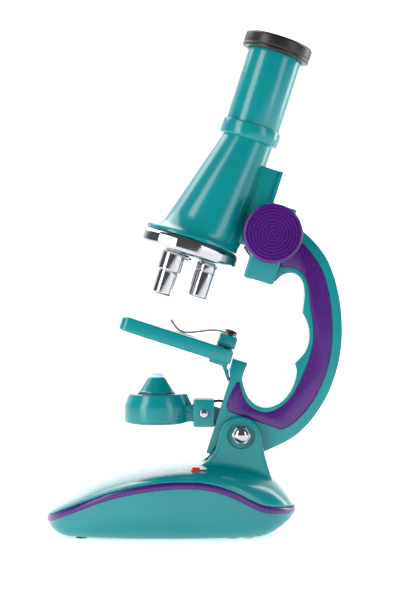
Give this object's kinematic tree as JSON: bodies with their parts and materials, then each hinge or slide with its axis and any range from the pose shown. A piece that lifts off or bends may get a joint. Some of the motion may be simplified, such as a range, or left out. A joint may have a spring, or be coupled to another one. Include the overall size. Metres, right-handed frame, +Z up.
{
  "type": "toy microscope",
  "caption": "Toy compound microscope: tilting C-shaped arm on a rounded battery base, focus knobs, revolving objective turret, stage with clips and a tilting lamp.",
  "frame": {"origin": "centre of the whole object's footprint box, on the surface it stands on", "axes": "+Z up, +X from the base's nose towards its heel and the arm's back, +Y towards the far side; the microscope is symmetric about the XZ plane apart from screws, objectives and the switch"},
  "size_m": [0.129, 0.069, 0.2212],
  "materials": {
    "teal_plastic": "smooth injection moulded, soft gloss",
    "purple_plastic": "smooth moulded, soft gloss",
    "black_plastic": "fine matte",
    "red_plastic": "gloss",
    "white_plastic": "moulded acetal",
    "chromed_plastic": "bright plated",
    "screw_steel": "zinc plated",
    "dark_steel": "black oxide",
    "spring_steel": "polished strip",
    "lens_glass": "polished",
    "lamp_lens": "translucent, glows when lit",
    "cell_jacket": "printed metal jacket, left plain",
    "foot_rubber": "matte",
    "lead_sleeve": "soft sleeve"
  },
  "bodies": {
    "base": {"base_lower_shell": "teal_plastic", "base_upper_shell": "teal_plastic", "base_trim_band": "purple_plastic", "base_screw_1": "screw_steel", "base_screw_2": "screw_steel", "base_screw_3": "screw_steel", "battery_1": "cell_jacket", "battery_2": "cell_jacket", "battery_cover": "teal_plastic", "battery_spring_1": "screw_steel", "battery_spring_2": "screw_steel", "contact_bridge": "screw_steel", "contact_minus": "screw_steel", "contact_plus": "screw_steel", "cover_screw": "screw_steel", "foot_front": "foot_rubber", "foot_rear": "foot_rubber", "hinge_bolt": "chromed_plastic", "hinge_nut": "chromed_plastic", "supply_lead": "lead_sleeve", "switch_body": "black_plastic"},
    "switch": {"switch_knob": "red_plastic"},
    "arm": {"arm_far_half": "teal_plastic", "arm_near_half": "teal_plastic", "arm_insert_far": "purple_plastic", "arm_insert_near": "purple_plastic", "arm_screw_1": "screw_steel", "arm_screw_2": "screw_steel", "stage_plate": "teal_plastic", "clip_block": "teal_plastic", "clip_screw_far": "dark_steel", "clip_screw_near": "dark_steel", "lamp_lead": "lead_sleeve"},
    "clip_near": {"stage_clip_near": "spring_steel"},
    "clip_far": {"stage_clip_far": "spring_steel"},
    "lamp": {"lamp_housing": "teal_plastic", "lamp_cover": "teal_plastic", "lamp_hood": "teal_plastic", "lamp_lens": "lamp_lens", "lamp_pin": "chromed_plastic", "led": "lamp_lens"},
    "focus_knobs": {"focus_shaft": "screw_steel", "focus_pinion": "white_plastic", "focus_knob_near": "purple_plastic", "focus_knob_far": "purple_plastic"},
    "tube": {"focus_rack": "white_plastic", "body_tube": "teal_plastic", "eyepiece_tube": "teal_plastic", "eyepiece_cap": "black_plastic", "eyepiece_lens": "lens_glass", "field_lens": "lens_glass", "turret_screw": "chromed_plastic"},
    "turret": {"turret_disc": "chromed_plastic", "objective_low": "chromed_plastic", "objective_medium": "chromed_plastic", "objective_high": "chromed_plastic", "objective_lens_low": "lens_glass", "objective_lens_medium": "lens_glass", "objective_lens_high": "lens_glass"}
  },
  "joints": [
    {"name": "arm_tilt", "type": "hinge", "parent": "base", "child": "arm", "pos_m": [0.0204, 0, 0.044], "axis": [0, 1, 0], "range_deg": [-17.8, 27.2]},
    {"name": "lamp_tilt", "type": "hinge", "parent": "arm", "child": "lamp", "pos_m": [0.00436, 0, 0.05293], "axis": [0, 1, 0], "range_deg": [0, 30]},
    {"name": "focus_slide", "type": "slide", "parent": "arm", "child": "tube", "axis": [0.3057, 0, 0.9521], "range_m": [-0.006, 0.006]},
    {"name": "focus_turn", "type": "hinge", "parent": "arm", "child": "focus_knobs", "pos_m": [0.03408, 0, 0.13109], "axis": [0, 1, 0], "range_deg": [-89, 89]},
    {"name": "turret_turn", "type": "hinge", "parent": "tube", "child": "turret", "pos_m": [-0.00257, 0, 0.12489], "axis": [0.3057, 0, 0.9521], "continuous": true},
    {"name": "switch_slide", "type": "slide", "parent": "base", "child": "switch", "axis": [1, 0, 0], "range_m": [0, 0.0034]},
    {"name": "clip_near_swivel", "type": "hinge", "parent": "arm", "child": "clip_near", "pos_m": [0.01587, -0.012, 0.08747], "axis": [0.3057, 0, 0.9521], "range_deg": [-20, 20]},
    {"name": "clip_far_swivel", "type": "hinge", "parent": "arm", "child": "clip_far", "pos_m": [0.01587, 0.012, 0.08747], "axis": [0.3057, 0, 0.9521], "range_deg": [-20, 20]}
  ],
  "couplings": [
    {"joint": "focus_turn", "follows": "focus_slide", "rad_per_m": 256.41}
  ]
}
